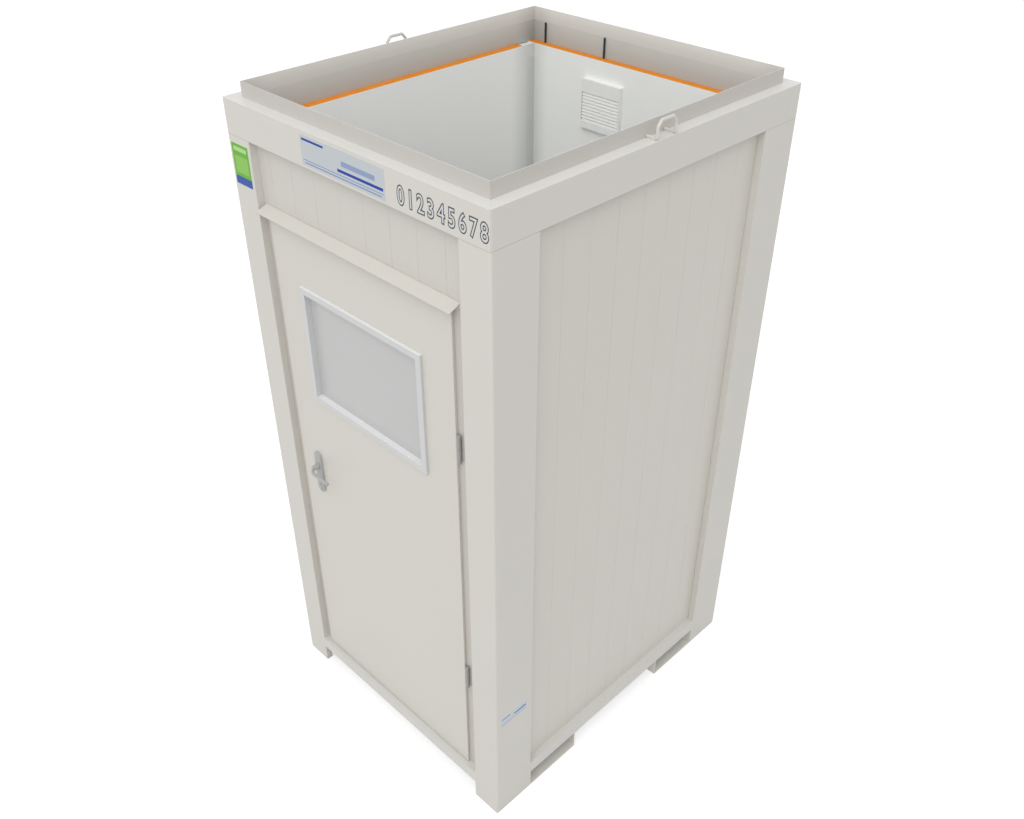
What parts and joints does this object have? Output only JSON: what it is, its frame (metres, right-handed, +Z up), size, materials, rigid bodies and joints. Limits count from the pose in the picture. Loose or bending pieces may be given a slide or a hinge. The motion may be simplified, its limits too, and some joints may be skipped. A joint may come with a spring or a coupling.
{
  "type": "portable toilet cabin",
  "caption": "Steel-framed toilet cabin with insulated walls, windowed door, fork pockets, lifting eyes and an open top, fitted with a toilet.",
  "frame": {"origin": "on the ground, midway between the cabin's left and right faces and midway between the outer door lever's tip and the rear face", "axes": "+Z up, -Y the way the door faces, +X to the right seen from the front"},
  "size_m": [1.2, 1.441, 2.552],
  "materials": {
    "frame_paint": "semi-gloss",
    "wall_skin": "satin",
    "foam": "matte",
    "galvanised_sheet": "satin",
    "threshold_metal": "satin",
    "floor_board": "matte",
    "frame_plastic": "matte",
    "frosted_pane": "frosted",
    "handle_metal": "satin",
    "lock_steel": "satin",
    "lock_brass": "satin",
    "glazed_ceramic": "gloss",
    "white_plastic": "gloss",
    "button_metal": "polished",
    "pipe_plastic": "matte",
    "paper": "matte"
  },
  "bodies": {
    "cabin": {"bottom_rail_front": "frame_paint", "bottom_rail_left": "frame_paint", "bottom_rail_rear": "frame_paint", "bottom_rail_right": "frame_paint", "cistern": "white_plastic", "corner_covers": "wall_skin", "corner_post_front_left": "frame_paint", "corner_post_front_right": "frame_paint", "corner_post_rear_left": "frame_paint", "corner_post_rear_right": "frame_paint", "door_head": "frame_paint", "door_jamb_left": "frame_paint", "door_jamb_right": "frame_paint", "drip_rail": "frame_paint", "floor_board": "floor_board", "floor_core": "foam", "floor_sheet": "galvanised_sheet", "fork_pockets": "frame_paint", "header_core": "foam", "header_inner_skin": "wall_skin", "header_outer_skin": "wall_skin", "hinge_frame_halves": "frame_paint", "left_wall_core": "foam", "left_wall_inner_skin": "wall_skin", "left_wall_outer_skin": "wall_skin", "lifting_eyes": "frame_paint", "paper_holder": "white_plastic", "rear_wall_core": "foam", "rear_wall_inner_skin": "wall_skin", "rear_wall_outer_skin": "wall_skin", "right_wall_core": "foam", "right_wall_inner_skin": "wall_skin", "right_wall_outer_skin": "wall_skin", "roof_collar": "frame_paint", "soil_pipe": "pipe_plastic", "threshold": "threshold_metal", "toilet_pan": "glazed_ceramic", "top_rail_front": "frame_paint", "top_rail_left": "frame_paint", "top_rail_rear": "frame_paint", "top_rail_right": "frame_paint", "vent_cowl": "frame_plastic", "vent_grille": "frame_plastic"},
    "door": {"door_outer_skin": "wall_skin", "door_core": "foam", "door_inner_skin": "wall_skin", "window_frames": "frame_plastic", "window_pane": "frosted_pane", "hinge_leaf_halves": "frame_paint", "handle_plates": "handle_metal", "lock_case": "galvanised_sheet", "lock_cylinder": "lock_brass"},
    "levers": {"lever_outer": "handle_metal", "lever_inner": "handle_metal"},
    "latch": {"latch_bolt": "lock_steel"},
    "deadbolt": {"dead_bolt": "lock_steel"},
    "thumb_turn": {"thumb_turn": "handle_metal"},
    "seat": {"toilet_seat": "white_plastic"},
    "flush_button": {"flush_button": "button_metal"},
    "paper_roll": {"paper_roll": "paper"}
  },
  "joints": [
    {"name": "door_swing", "type": "hinge", "parent": "cabin", "child": "door", "pos_m": [0.436, -0.6635, 1.15], "axis": [0, 0, 1], "range_deg": [0, 150]},
    {"name": "lever_turn", "type": "hinge", "parent": "door", "child": "levers", "pos_m": [-0.348, -0.6435, 1.168], "axis": [0, 1, 0], "range_deg": [0, 40], "stiffness_Nm_per_rad": 1, "springref_deg": -34.38},
    {"name": "latch_slide", "type": "slide", "parent": "door", "child": "latch", "axis": [1, 0, 0], "range_m": [0, 0.012]},
    {"name": "thumb_turn_spin", "type": "hinge", "parent": "door", "child": "thumb_turn", "pos_m": [-0.348, -0.6095, 1.076], "axis": [0, 1, 0], "range_deg": [0, 90]},
    {"name": "deadbolt_slide", "type": "slide", "parent": "door", "child": "deadbolt", "axis": [-1, 0, 0], "range_m": [0, 0.02]},
    {"name": "seat_lift", "type": "hinge", "parent": "cabin", "child": "seat", "pos_m": [0, 0.4505, 0.572], "axis": [-1, 0, 0], "range_deg": [0, 92]},
    {"name": "flush_press", "type": "slide", "parent": "cabin", "child": "flush_button", "axis": [0, 0, -1], "range_m": [0, 0.005], "stiffness_N_per_m": 600, "springref_m": -0.003},
    {"name": "roll_spin", "type": "hinge", "parent": "cabin", "child": "paper_roll", "pos_m": [-0.443, 0.2505, 0.86], "axis": [0, 1, 0], "continuous": true}
  ],
  "couplings": [
    {"joint": "latch_slide", "follows": "lever_turn", "m_per_rad": 0.01718},
    {"joint": "thumb_turn_spin", "follows": "deadbolt_slide", "rad_per_m": 78.5}
  ]
}
